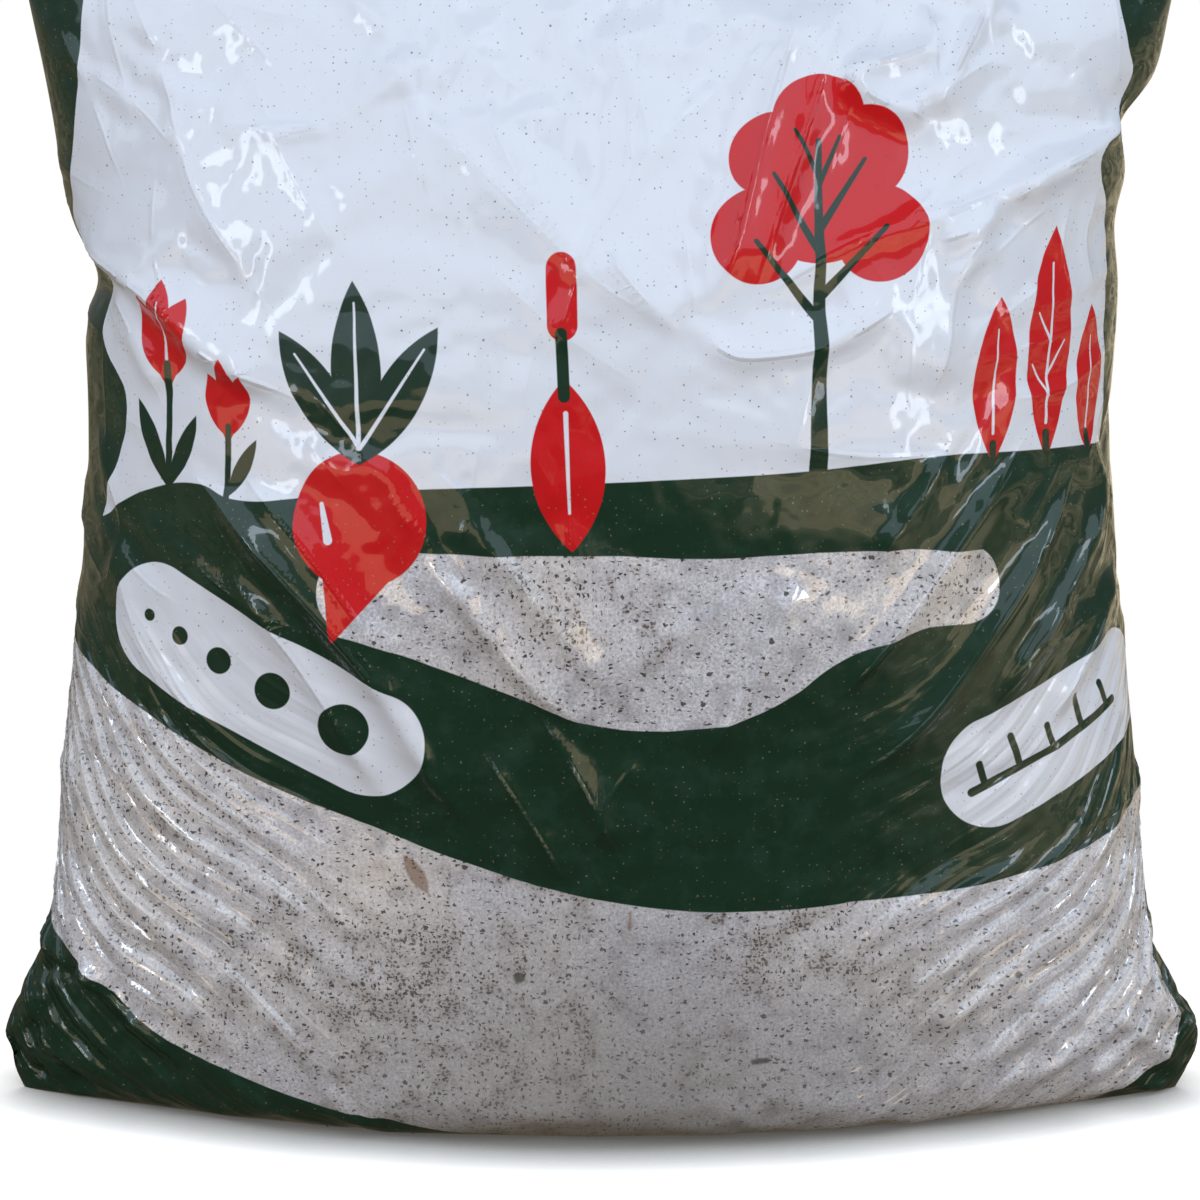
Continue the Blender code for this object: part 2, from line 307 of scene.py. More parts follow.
def tucked(points):
    """Draws the sides in where the film is puckered under the shoulder."""
    points = points.copy()
    half = np.abs(points[..., 0]).max(axis=1)[:, None]
    edge = np.clip(np.abs(points[..., 0]) / half, 0, 1) ** 6
    for side, level, spread, depth in TUCKS:
        there = np.exp(-(((points[..., 2] - level) / spread) ** 2))
        here = np.clip(side * points[..., 0] / 0.1, 0, 1)
        points[..., 0] -= side * depth * there * edge * here
    return points


def film_mesh(name, points, across, up):
    """A closed bag from a grid of points, with the flat film as its UV map."""
    rows, columns = points.shape[:2]
    number = np.arange(rows * columns).reshape(rows, columns)
    right = np.roll(number, -1, axis=1)
    quads = np.stack((number[:-1], right[:-1], right[1:], number[1:]), axis=2).reshape(-1, 4)
    faces = quads.tolist()
    faces.append(number[0, ::-1].tolist())
    faces.append(number[-1].tolist())
    mesh = bpy.data.meshes.new(name)
    mesh.from_pydata(points.reshape(-1, 3).tolist(), [], faces)
    wide = np.append(across, across[0] + 2 * FILM_WIDTH)
    left, lower = np.meshgrid(wide[:-1], up[:-1])
    farther, upper = np.meshgrid(wide[1:], up[1:])
    corners = ((left, lower), (farther, lower), (farther, upper), (left, upper))
    uvs = np.stack([np.stack(corner, axis=2) for corner in corners], axis=2).reshape(-1, 2)
    base = points[0, ::-1, :2] - (0, 0.3)
    top = np.stack((points[-1, :, 0], np.full(columns, up[-1])), axis=1)
    uvs = np.concatenate((uvs, base, top))
    layer = mesh.uv_layers.new(name="film")
    layer.data.foreach_set("uv", uvs.astype(np.float32).ravel())
    mesh.shade_smooth()
    return mesh


# Settling. The film is pressed out by the tuff and held by its own cut: a cloth is simulated on a
# coarser grid whose springs are a little longer than the form needs, so the spare film buckles as real
# film does. Below it come the fine pleats that the filled corners draw, and maps that follow them.
SPARE_FILM = 0.009
MOST_MOVE = 0.012
SETTLE_FRAMES = 26


def resampled(values, old, new, axis):
    """Cubic interpolation of a grid of values along one axis."""
    values = np.moveaxis(values, axis, 0)
    place = np.interp(new, old, np.arange(len(old)))
    k = np.clip(place.astype(int), 0, len(old) - 2)
    t = (place - k).reshape(-1, *([1] * (values.ndim - 1)))
    a, b, c, d = (values[np.clip(k + step, 0, len(old) - 1)] for step in (-1, 0, 1, 2))
    bend = (c - a) * t + (2 * a - 5 * b + 4 * c - d) * t**2 + (3 * b - a - 3 * c + d) * t**3
    return np.moveaxis(b + bend / 2, 0, axis)


def settled_shift(points, across, up):
    """How far each point of a grid of film moves while it settles."""
    rows, columns = points.shape[:2]
    cloth_mesh = film_mesh("settling", points, across, up)
    cloth = bpy.data.objects.new("settling", cloth_mesh)
    bpy.context.scene.collection.objects.link(cloth)
    hold = cloth.vertex_groups.new(name="hold")
    for row, height in enumerate(up):
        fixed = height < 0.012 or height > up[-1] - 0.02
        number = list(range(row * columns, (row + 1) * columns))
        hold.add(number, 1.0 if fixed else 0.12, "REPLACE")
    settings = cloth.modifiers.new("settle", "CLOTH").settings
    settings.quality = 6
    settings.mass = 0.03
    settings.air_damping = 4
    settings.tension_stiffness = 60
    settings.compression_stiffness = 60
    settings.shear_stiffness = 25
    settings.bending_stiffness = 0.05
    settings.tension_damping = 12
    settings.compression_damping = 12
    settings.shear_damping = 12
    settings.shrink_min = -SPARE_FILM
    settings.vertex_group_mass = "hold"
    settings.pin_stiffness = 1.0
    settings.use_pressure = True
    settings.uniform_pressure_force = 6.0
    settings.effector_weights.gravity = 0
    for frame_number in range(1, SETTLE_FRAMES + 1):
        bpy.context.scene.frame_set(frame_number)
    evaluated = cloth.evaluated_get(bpy.context.evaluated_depsgraph_get())
    moved = np.empty(rows * columns * 3, np.float32)
    evaluated.data.vertices.foreach_get("co", moved)
    shift = moved.reshape(rows, columns, 3) - points
    bpy.data.objects.remove(cloth)
    bpy.context.scene.frame_set(1)
    length = np.linalg.norm(shift, axis=2, keepdims=True)
    return shift * MOST_MOVE / np.hypot(MOST_MOVE, length)


FOLD_TABLES = (
    SLACK_FOLDS, BAND_FOLDS, CORNER_FOLDS, EAR_FOLDS, small_folds(150, 4),
    small_folds(34, 9, inner=(192, 228), lowest=8, highest=86, tallest=2.8, longest=16),
)
points, across, up = plain_film(film_rows(10, 236, 14), 250, 100)
points = folded_film(tucked(points), across, up, FOLD_TABLES)
coarse, coarse_across, coarse_up = plain_film(film_rows(5, 116, 3), 124, 50)
coarse = folded_film(tucked(coarse), coarse_across, coarse_up, FOLD_TABLES)
shift = settled_shift(coarse, coarse_across, coarse_up)
shift = np.concatenate((shift, shift[:, :1]), axis=1)
around = np.append(coarse_across, coarse_across[0] + 2 * FILM_WIDTH)
shift = resampled(shift, around, across, 1)
points = points + resampled(shift, coarse_up, up, 0)
middle = (points.reshape(-1, 3).min(axis=0) + points.reshape(-1, 3).max(axis=0)) / 2
points[..., 0] -= middle[0]
points[..., 1] -= middle[1]
PLEAT_LINE = (
    (-250, 175), (-238, 140), (-220, 112), (-190, 78), (-160, 51), (-130, 29), (-100, 11), (-60, -6), (0, -20),
)
PLEAT_PITCH = 0.0125
PLEAT_HEIGHT = 0.0009
PLEAT_CLIMB, PLEAT_DROP = 1.55, 2.8
PLEAT_CREST = PLEAT_DROP / (PLEAT_CLIMB + PLEAT_DROP)
FRONT_EDGE = FILM_WIDTH / 2
BAND_FOOT = (
    (-250, 213), (-227, 204), (-211, 199), (-193, 191), (-177, 184), (-151, 172), (-120, 159), (-91, 149),
    (-56, 136), (-15, 123), (30, 115), (60, 114), (103, 116), (157, 121), (179, 125), (204, 132), (220, 140),
    (250, 152),
)
CORNER_LINE = (
    (-250, 95), (-242, 91), (-203, 74), (-178, 57), (-155, 45), (-129, 36), (-102, 28), (-65, 19), (-30, 8),
    (10, 0), (250, 0),
)


def pleat_map(across, up):
    """Place among the fine pleats that run round the lower corners, and how deep they are there."""
    sideways, rows = np.meshgrid(FRONT_EDGE - np.abs(across - FRONT_EDGE), up)
    lines = (np.array(knots).T / 1000 for knots in (BAND_FOOT, CORNER_LINE))
    foot, corner = (np.interp(sideways, *line) for line in lines)
    columns = -np.abs(sideways)
    rise = rows - np.interp(columns, *(np.array(PLEAT_LINE).T / 1000))
    wander = 0.6 * np.sin(23 * columns + 17 * rows) + 0.4 * np.sin(-44 * columns + 31 * rows + 2)
    wander += 0.12 * np.sin(90 * columns + 75 * rows + 1)
    depth = np.clip(-columns * 10 - 0.6, 0, 1) * np.clip(rows * 50 - 0.6, 0, 1)
    depth *= np.clip((foot + 0.008 - rows) * 90, 0.2, 1) * np.clip((rows - corner) * 90, 0.45, 1)
    depth *= np.clip((0.23 - rows) * 25, 0, 1)
    patches = 0.85 + 0.45 * np.sin(47 * columns + 83 * rows + 1.3) * np.sin(71 * columns - 38 * rows + 0.4)
    patches += 0.2 * np.sin(110 * columns + 130 * rows)
    return rise / PLEAT_PITCH + wander, depth * np.clip(patches, 0.15, 1)


def crest_map(across, up):
    """Signed gap in millimetres to the nearest fold's crest, and how sharp that crest is."""
    columns, rows = np.meshgrid(FRONT_EDGE - np.abs(across - FRONT_EDGE), up)
    gaps, sharpness = np.full(columns.shape, 0.02), np.zeros(columns.shape)
    second = gaps.copy()
    for table in FOLD_TABLES[:2] + FOLD_TABLES[4:5]:
        for near, gap, height, left, right in along_folds(columns, rows, table, 0.007):
            nearest = np.abs(gaps[near])
            closer = np.abs(gap) < nearest
            sharp = height * np.clip(1.5 - np.abs(gap) / 0.002, 0, 1) * min(0.003 / min(left, right), 1)
            second[near] = np.where(closer, nearest, np.minimum(second[near], np.abs(gap)))
            gaps[near] = np.where(closer, gap, gaps[near])
            sharpness[near] = np.where(closer, sharp, sharpness[near])
    return gaps * 1000, sharpness * 1000 * np.clip((second - np.abs(gaps)) / 0.002 - 1, 0, 1)


phase, depth = pleat_map(across, up)
ridge = np.minimum(phase % 1 * PLEAT_CLIMB, (1 - phase % 1) * PLEAT_DROP)
points = points + outward(points) * (PLEAT_HEIGHT * ridge * depth)[..., None]
film_shape = film_mesh("printed_film", points, across, up)
corner_points = np.empty(len(film_shape.loops), int)
film_shape.loops.foreach_get("vertex_index", corner_points)
for name, draw in (("pleats", pleat_map), ("crests", crest_map)):
    layer = film_shape.uv_layers.new(name=name)
    values = np.stack(draw(across, up), axis=2).reshape(-1, 2)[corner_points]
    layer.data.foreach_set("uv", values.astype(np.float32).ravel())
film = bpy.data.objects.new("printed_film", film_shape)
bpy.context.scene.collection.objects.link(film)


# The print. Flexible inks on the flat film before it is made into a tube: a white panel, a red and
# dark green garden, a dark green band with a stone window, and a stone-grey field below. Everything
# is drawn from the film's own flat coordinates, in metres, by arithmetic nodes.
material = bpy.data.materials.new("printed_polyethylene")
material.use_nodes = True
nodes, links = material.node_tree.nodes, material.node_tree.links
nodes.clear()


class Field:
    """A number or place that varies over the film; sums of fields lay the nodes they need."""

    def __init__(self, socket):
        self.socket = socket

    def __add__(self, other):
        return laid("ShaderNodeMath", "ADD", self, other)

    def __sub__(self, other):
        return laid("ShaderNodeMath", "SUBTRACT", self, other)

    def __rsub__(self, other):
        return laid("ShaderNodeMath", "SUBTRACT", other, self)

    def __mul__(self, other):
        return laid("ShaderNodeMath", "MULTIPLY", self, other)

    def __abs__(self):
        return laid("ShaderNodeMath", "ABSOLUTE", self)

    __radd__ = __add__
    __rmul__ = __mul__


def fill_in(slot, value):
    if isinstance(value, Field):
        links.new(value.socket, slot)
    else:
        slot.default_value = value


def laid(kind, operation, *values, out=0, clamp=False):
    """Lays one arithmetic node and returns its result as a field."""
    node = nodes.new(kind)
    node.operation = operation
    if clamp:
        node.use_clamp = True
    for slot, value in zip(node.inputs, values):
        fill_in(slot, value)
    return Field(node.outputs[out])


def clamped(field):
    return laid("ShaderNodeMath", "ADD", field, 0.0, clamp=True)


def merged(*fields):
    """The nearest of several distances: all the shapes together."""
    result = fields[0]
    for other in fields[1:]:
        result = laid("ShaderNodeMath", "MINIMUM", result, other)
    return result


def drawn(*shapes):
    """Merges shapes one by one, each given as what draws it and its measures in millimetres."""
    result = None
    for draw, *measures in shapes:
        distance = draw(*measures)
        result = distance if result is None else merged(result, distance)
    return result


def shared(*fields):
    """The farthest of several distances: only where the shapes overlap."""
    result = fields[0]
    for other in fields[1:]:
        result = laid("ShaderNodeMath", "MAXIMUM", result, other)
    return result


def inside(distance, blur=0.0004):
    """1 inside a shape and 0 outside, with a thin soft edge."""
    return laid("ShaderNodeMath", "MULTIPLY_ADD", distance, -1 / blur, 0.5, clamp=True)


def curve_through(field, knots, low, high, bottom, top):
    """A drawn curve: knots are (place, value) in millimetres."""
    node = nodes.new("ShaderNodeFloatCurve")
    node.mapping.use_clip = False
    points = node.mapping.curves[0].points
    for place, value in knots[1:-1]:
        points.new((place / 1000 - low) / (high - low), (value / 1000 - bottom) / (top - bottom))
    for point, (place, value) in zip((points[0], points[len(points) - 1]), (knots[0], knots[-1])):
        point.location = ((place / 1000 - low) / (high - low), (value / 1000 - bottom) / (top - bottom))
    node.mapping.update()
    fill_in(node.inputs["Value"], (field - low) * (1 / (high - low)))
    return Field(node.outputs[0]) * (top - bottom) + bottom


flat = nodes.new("ShaderNodeUVMap")
flat.uv_map = "film"
place = Field(flat.outputs[0])
parts = nodes.new("ShaderNodeSeparateXYZ")
fill_in(parts.inputs[0], place)
along_girth, height = Field(parts.outputs[0]), Field(parts.outputs[1])
sideways = FRONT_EDGE - abs(along_girth - FRONT_EDGE)
behind = laid("ShaderNodeMath", "GREATER_THAN", along_girth, FRONT_EDGE)


def line_across(knots):
    return curve_through(sideways, knots, -0.25, 0.25, 0.0, 0.5)


def line_upward(knots):
    return curve_through(height, knots, 0.0, 0.6, -0.25, 0.25)


def disc(centre, radius):
    centre = (centre[0] / 1000, centre[1] / 1000, 0)
    return laid("ShaderNodeVectorMath", "DISTANCE", place, centre, out=1) - radius / 1000


def leaf(base, tip, width):
    """A pointed leaf: the overlap of two discs."""
    base, tip = np.array(base, float), np.array(tip, float)
    half = np.linalg.norm(tip - base) / 2
    radius = (half**2 + (width / 2) ** 2) / width
    offset = (radius - width / 2) * np.array((base[1] - tip[1], tip[0] - base[0])) / (2 * half)
    middle = (base + tip) / 2
    return shared(disc(middle + offset, radius), disc(middle - offset, radius))


def bar(start, end, thick, thin=None):
    """A round-ended bar that may taper from a radius thick to thin."""
    thin = thick if thin is None else thin
    start, end = (np.array((*point, 0), float) / 1000 for point in (start, end))
    reach = end - start
    off = laid("ShaderNodeVectorMath", "SUBTRACT", place, tuple(start))
    share = laid("ShaderNodeVectorMath", "DOT_PRODUCT", off, tuple(reach / (reach @ reach)), out=1)
    share = clamped(share)
    nearest = nodes.new("ShaderNodeVectorMath")
    nearest.operation = "SCALE"
    nearest.inputs[0].default_value = tuple(reach)
    fill_in(nearest.inputs["Scale"], share)
    gap = laid("ShaderNodeVectorMath", "DISTANCE", off, Field(nearest.outputs[0]), out=1)
    slimmer = laid("ShaderNodeMath", "MULTIPLY_ADD", share, (thick - thin) / 1000, -thick / 1000)
    return gap + slimmer


ground = line_across(
    ((-250, 252), (-225, 253), (-205, 257), (-193, 264), (-180, 270), (-153, 275), (-140, 271), (-110, 273),
     (-76, 277), (-26, 280), (24, 282), (78, 284), (121, 287), (180, 286), (233, 284), (250, 284))
)
band_foot = line_across(BAND_FOOT)
window_top = line_across(
    ((-250, 250), (-95, 255), (-74, 259), (-15, 256), (33, 253), (109, 254), (134, 252), (250, 250))
)
window_foot = line_across(
    ((-250, 224), (-110, 226), (-95, 224), (-56, 210), (-22, 197), (-4, 190), (15, 187), (35, 188), (52, 191),
     (71, 200), (86, 211), (101, 218), (134, 225), (250, 225))
)
left_corner = line_across(CORNER_LINE)
panel_left = line_upward(
    ((0, -206), (256, -206), (283, -195), (303, -191), (327, -208), (353, -204), (365, -222), (381, -220),
     (404, -212), (432, -204), (456, -201), (500, -203), (600, -208))
)
panel_right = line_upward(
    ((0, 212), (330, 212), (372, 210), (393, 198), (404, 209), (424, 215), (437, 208), (456, 202), (500, 204),
     (600, 208))
)
right_corner = line_upward(
    ((0, 190), (19, 213), (32, 226), (46, 232), (60, 234), (80, 235), (100, 239), (112, 246), (130, 250),
     (600, 250))
)

white_panel = shared(ground - height, panel_left - sideways, sideways - panel_right, height - 0.572)
window = merged(
    bar((-88, 240), (137, 238.5), 15),
    shared(window_foot - height, height - 0.240, abs(sideways - 0.02) - 0.115),
)
window = shared(window, height - window_top)
stone_foot = shared(height - band_foot, left_corner - height, sideways - right_corner)

# Shapes of the garden, in millimetres on the flat film: left of the trowel first, then the rest.
LEFT_SHAPES = {
    "red": (
        (disc, (-88, 266), 25), (bar, (-88, 252), (-97, 222), 15, 0.8), (leaf, (-168, 312), (-179, 343), 13),
        (leaf, (-168, 312), (-157, 343), 13), (leaf, (-168, 309), (-168, 350), 14),
        (leaf, (-141, 293), (-149, 316), 10), (leaf, (-141, 293), (-133, 316), 10),
        (leaf, (-141, 291), (-141, 322), 11),
    ),
    "dark": (
        (leaf, (-88, 286), (-119, 333), 17), (leaf, (-88, 286), (-91, 352), 19),
        (leaf, (-88, 286), (-59, 336), 17), (bar, (-168, 270), (-168, 318), 1.5),
        (bar, (-141, 270), (-141, 297), 1.3), (leaf, (-168, 272), (-184, 304), 8),
        (leaf, (-168, 272), (-155, 300), 7), (leaf, (-141, 271), (-129, 293), 6),
    ),
    "pale": (
        (bar, (-88, 292), (-113, 325), 0.8, 0.4), (bar, (-88.5, 292), (-90.5, 344), 0.9, 0.4),
        (bar, (-88, 292), (-64, 328), 0.8, 0.4), (bar, (-100, 258), (-103, 271), 1.6, 0.8),
        (bar, (-168, 320), (-168, 341), 0.6, 0.3), (bar, (-172, 221), (-86, 182), 22.5),
    ),
    "pictures": (
        (disc, (-176, 223), 2.4), (disc, (-162, 216.5), 3.6), (disc, (-145, 208.5), 5.2),
        (disc, (-123, 198.5), 7.2), (disc, (-95, 186), 10),
    ),
}
RIGHT_SHAPES = {
    "red": (
        (disc, (80, 385), 27), (disc, (57, 368), 17), (disc, (103, 369), 18), (disc, (63, 396), 16),
        (disc, (98, 398), 17), (disc, (80, 408), 18), (bar, (-14, 357), (-13.5, 337), 5.5),
        (leaf, (-13, 318), (-10, 256), 27), (leaf, (150, 283), (152, 344), 19),
        (leaf, (175, 282), (178, 369), 22), (leaf, (199, 282), (201, 338), 17),
    ),
    "dark": (
        (bar, (80, 280), (80, 402), 3.6, 1.2), (bar, (80, 338), (56, 366), 1.9, 0.9),
        (bar, (80, 346), (105, 371), 1.9, 0.9), (bar, (80, 362), (63, 390), 1.6, 0.8),
        (bar, (80, 370), (98, 396), 1.6, 0.8), (bar, (80, 390), (71, 406), 1.2, 0.7),
        (bar, (80, 386), (88, 404), 1.2, 0.7), (bar, (-14, 334), (-13, 312), 2.2),
        (bar, (150, 280), (150, 290), 1.6), (bar, (175, 280), (175, 292), 1.8),
        (bar, (199, 280), (199, 290), 1.5),
    ),
    "pale": (
        (bar, (-12.4, 306), (-11, 270), 0.9, 0.5), (bar, (175, 296), (177.5, 355), 0.7, 0.4),
        (bar, (176, 306), (168, 318), 0.6, 0.3), (bar, (176, 314), (184, 326), 0.6, 0.3),
        (bar, (176.5, 326), (170, 337), 0.6, 0.3), (bar, (150, 294), (151.5, 332), 0.6, 0.3),
        (bar, (199, 292), (200.5, 326), 0.6, 0.3), (bar, (151, 164), (214, 189), 22.5),
    ),
    "pictures": (
        (bar, (142, 156), (212, 184), 1.7), (bar, (148, 158.4), (144.3, 167.7), 1.5),
        (bar, (163, 164.4), (157.8, 177.4), 1.5), (bar, (178, 170.4), (174.3, 179.7), 1.5),
        (bar, (193, 176.4), (187.8, 189.4), 1.5), (bar, (208, 182.4), (204.3, 191.7), 1.5),
    ),
}


def noise(scale, detail=2.0, rough=0.5, distortion=0.0, out=0):
    node = nodes.new("ShaderNodeTexNoise")
    node.noise_dimensions = "2D"
    fill_in(node.inputs["Vector"], place)
    node.inputs["Scale"].default_value = scale
    node.inputs["Detail"].default_value = detail
    node.inputs["Roughness"].default_value = rough
    node.inputs["Distortion"].default_value = distortion
    return Field(node.outputs[out])


wobble = laid("ShaderNodeVectorMath", "SUBTRACT", noise(620, 1, out=1), (0.5, 0.5, 0.5))


def specks(spacing, largest, share_kept, stretch=(1, 1), bent=0.0):
    """Scattered specks, one to a cell at most, each of its own size; spacing and largest in mm."""
    where = laid("ShaderNodeVectorMath", "MULTIPLY_ADD", wobble, (bent / 1000,) * 3, place)
    if stretch != (1, 1):
        where = laid("ShaderNodeVectorMath", "MULTIPLY", where, (*stretch, 1))
    cells = nodes.new("ShaderNodeTexVoronoi")
    cells.voronoi_dimensions = "2D"
    fill_in(cells.inputs["Vector"], where)
    cells.inputs["Scale"].default_value = 1000 / spacing
    split = nodes.new("ShaderNodeSeparateColor")
    links.new(cells.outputs["Color"], split.inputs[0])
    chance, growth = Field(split.outputs[0]), Field(split.outputs[1])
    kept = laid("ShaderNodeMath", "LESS_THAN", chance, share_kept)
    size = laid("ShaderNodeMath", "MULTIPLY_ADD", growth, 0.8 * largest / spacing, 0.2 * largest / spacing)
    return clamped((size - Field(cells.outputs["Distance"])) * (spacing / 0.2)) * kept


def tinted(under, colour, amount):
    """One more coat of colour over what is there."""
    node = nodes.new("ShaderNodeMix")
    node.data_type = "RGBA"
    fill_in(node.inputs[0], amount)
    for slot, value in ((node.inputs[6], under), (node.inputs[7], colour)):
        if isinstance(value, Field):
            links.new(value.socket, slot)
        else:
            slot.default_value = (*value, 1)
    return Field(node.outputs[2])


def glossy_film(colour, roughness, refraction=1.5, loose=False):
    """Smooth polyethylene over a colour; loose film has its own relief over what lies behind it."""
    shader = nodes.new("ShaderNodeBsdfPrincipled")
    fill_in(shader.inputs["Base Color"], colour)
    shader.inputs["Roughness"].default_value = roughness
    shader.inputs["Specular IOR Level"].default_value = 0.12
    shader.inputs["Coat Weight"].default_value = 1.0 if loose else 0.75
    shader.inputs["Coat Roughness"].default_value = 0.04 if loose else 0.06
    shader.inputs["Coat IOR"].default_value = refraction
    if not loose:
        links.new(film_bump.outputs[0], shader.inputs["Normal"])
    links.new(film_bump.outputs[0], shader.inputs["Coat Normal"])
    return shader.outputs[0]


DARK_GREEN = (0.0085, 0.032, 0.0175)
PALE_INK = (0.77, 0.78, 0.85)
RED_INK = (0.62, 0.008, 0.012)
GREEN_BLOOM = (0.0145, 0.044, 0.027)
DUST_ON_GREEN = (0.21, 0.18, 0.13)
DUST_ON_WHITE = (0.09, 0.055, 0.04)
STONE_GREY = (0.49, 0.465, 0.50)
STONE_PALE = (0.74, 0.715, 0.77)
STONE_WARM = (0.66, 0.59, 0.54)
PAINTED_SUNLIT_PATCH = (0.86, 0.70, 0.56)
STONE_SHADE = (0.34, 0.32, 0.33)
STONE_VEIN = (0.84, 0.81, 0.82)
STONE_FLECK = (0.05, 0.04, 0.04)
STONE_PORE = (0.05, 0.043, 0.045)
BROWN_DIRT = (0.14, 0.09, 0.062)
PAINTED_FOOT_SHADE = (0.20, 0.185, 0.175)
PAINTED_CREST_HIGHLIGHT = (0.86, 0.78, 0.72)
DARK_CHIP = (0.075, 0.07, 0.062)
RUST = (0.24, 0.13, 0.07)

film_bump = nodes.new("ShaderNodeBump")
film_bump.inputs["Strength"].default_value = 1.0
film_bump.inputs["Distance"].default_value = 0.0011


def film_map(name):
    """The two values that one of the film's own maps holds."""
    source = nodes.new("ShaderNodeUVMap")
    source.uv_map = name
    split = nodes.new("ShaderNodeSeparateXYZ")
    links.new(source.outputs[0], split.inputs[0])
    return Field(split.outputs[0]), Field(split.outputs[1])


phase, depth = film_map("pleats")
along_pleat = laid("ShaderNodeMath", "FRACT", phase)
pleat = laid("ShaderNodeMath", "MINIMUM", along_pleat * PLEAT_CLIMB, (1 - along_pleat) * PLEAT_DROP)
fine = laid("ShaderNodeMath", "PINGPONG", phase * 2.7, 0.5)
relief = (pleat * 2.7 + fine * 1.1) * depth
gap, sharpness = film_map("crests")
crest = clamped(1 - abs(gap) * 0.7)
relief = relief + crest * clamped(sharpness * 0.35) * 0.5
fill_in(film_bump.inputs["Height"], noise(42, 2, 0.5) * 0.8 + relief)

over_window = drawn(
    (disc, (-88, 266), 25), (bar, (-88, 252), (-97, 222), 15, 0.8), (leaf, (-13, 318), (-10, 256), 27)
)
over_foot = drawn((bar, (-172, 221), (-86, 182), 22.5), (bar, (151, 164), (214, 189), 22.5))
is_stone = inside(shared(merged(window + behind, stone_foot), 0 - merged(over_window, over_foot)))

broad = noise(9, 3, 0.55)
mottle = noise(75, 3, 0.65)
grain = noise(850, 1, 0.7)
stone = tinted(STONE_GREY, STONE_PALE, clamped(grain * 3.0 - 1.05))
stone = tinted(stone, STONE_WARM, clamped(broad * 2.6 - 0.95) * 0.7)
# Painted light: a warm pale patch low on the left, standing in for a reflection of sunlit ground.
stone = tinted(stone, PAINTED_SUNLIT_PATCH, clamped(0.9 - (disc((-84, 128), 0) * 22)) * 0.55)
stone = tinted(stone, STONE_SHADE, clamped(mottle * 4.5 - 2.2) * 0.55)
veins = clamped((0.035 - abs(noise(300, 1, 0.5, 0.8) - 0.5)) * 40)
stone = tinted(stone, STONE_VEIN, veins * clamped(mottle * -5 + 3.0) * 0.8)
flecks = specks(1.6, 0.54, 0.5, (0.5, 1.0), 1.6) * clamped(mottle * 5 - 1.3)
stone = tinted(stone, STONE_FLECK, flecks * 0.95)
flecks = specks(1.6, 0.54, 0.5, (1.0, 0.5), 1.6) * clamped(broad * 6 - 2.4)
stone = tinted(stone, STONE_FLECK, flecks * 0.95)
stone = tinted(stone, STONE_PORE, specks(6.0, 0.9, 0.45, (0.8, 1.0), 1.9) * 0.9)
dirty = laid("ShaderNodeMath", "MAXIMUM", 0.9 - disc((-70, 92), 0) * 16, 1.1 - disc((52, 100), 0) * 26)
dirty = laid("ShaderNodeMath", "MAXIMUM", dirty, 0.9 - disc((8, 226), 0) * 26)
dirty = clamped(mottle * 6 + broad * 4 + dirty * 1.1 - 5.5)
stone = tinted(stone, BROWN_DIRT, specks(1.5, 0.85, 0.8, (1, 1), 1.4) * dirty * 0.92)
# Painted shade: the stone is darkened round the foot of the front, where the bag curves under.
stone = tinted(stone, PAINTED_FOOT_SHADE, clamped(1.2 - disc((10, 0), 0) * 7.5) * 0.72)
# Painted highlights: thin pale warm lines along the pleats' crests, standing in for gloss reflections.
painted_crest_highlight = clamped(1 - abs(along_pleat - PLEAT_CREST) * 13) * depth
stone = tinted(stone, PAINTED_CREST_HIGHLIGHT, clamped(painted_crest_highlight * (broad * 3 - 0.8)) * 0.75)
chips = drawn(
    (disc, (-30, 88), 2.2), (bar, (57, 52), (61.5, 52.4), 1.2), (disc, (162, 80), 1.4), (disc, (-12, 57), 0.8)
)
stone = tinted(stone, DARK_CHIP, inside(chips, 0.001) * 0.85)
flake = drawn((leaf, (-73, 136), (-64, 121), 6), (bar, (11, 108), (11.3, 114.5), 0.6, 0.4))
stone = tinted(stone, RUST, inside(flake, 0.001) * 0.72)

on_panel = inside(white_panel) * (1 - behind)
plain = tinted(DARK_GREEN, GREEN_BLOOM, clamped(mottle * 4 - 1.9))
plain = tinted(plain, PALE_INK, on_panel)
dust_colour = tinted(DUST_ON_GREEN, DUST_ON_WHITE, on_panel)
dust = specks(2.7, 0.42, 0.42, (1, 1), 0.9) * clamped(mottle * 5 - 1.7) * 0.8


def inked_film(shapes):
    """The film's printed skin, with one set of shapes on it and the dust that clings to it."""
    colour = plain
    inks = (("red", RED_INK), ("dark", DARK_GREEN), ("pale", PALE_INK), ("pictures", DARK_GREEN))
    for kind, ink in inks:
        if kind in shapes:
            colour = tinted(colour, ink, inside(drawn(*shapes[kind])))
    return glossy_film(tinted(colour, dust_colour, dust), 0.32)


def either(choice, first, second):
    """One skin where the choice is 0 and the other where it is 1."""
    blend = nodes.new("ShaderNodeMixShader")
    fill_in(blend.inputs[0], choice)
    links.new(first, blend.inputs[1])
    links.new(second, blend.inputs[2])
    return blend.outputs[0]


on_right = laid("ShaderNodeMath", "GREATER_THAN", along_girth, -0.04)
off_garden = laid("ShaderNodeMath", "GREATER_THAN", abs(height - 0.285) + behind, 0.146)
skin = either(on_right, inked_film(LEFT_SHAPES), inked_film(RIGHT_SHAPES))
skin = either(off_garden, skin, inked_film({}))
skin = either(is_stone, skin, glossy_film(stone, 0.6, 1.9, loose=True))
output = nodes.new("ShaderNodeOutputMaterial")
links.new(skin, output.inputs["Surface"])
film.data.materials.append(material)
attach(film, "root")
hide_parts("tuff_bag")


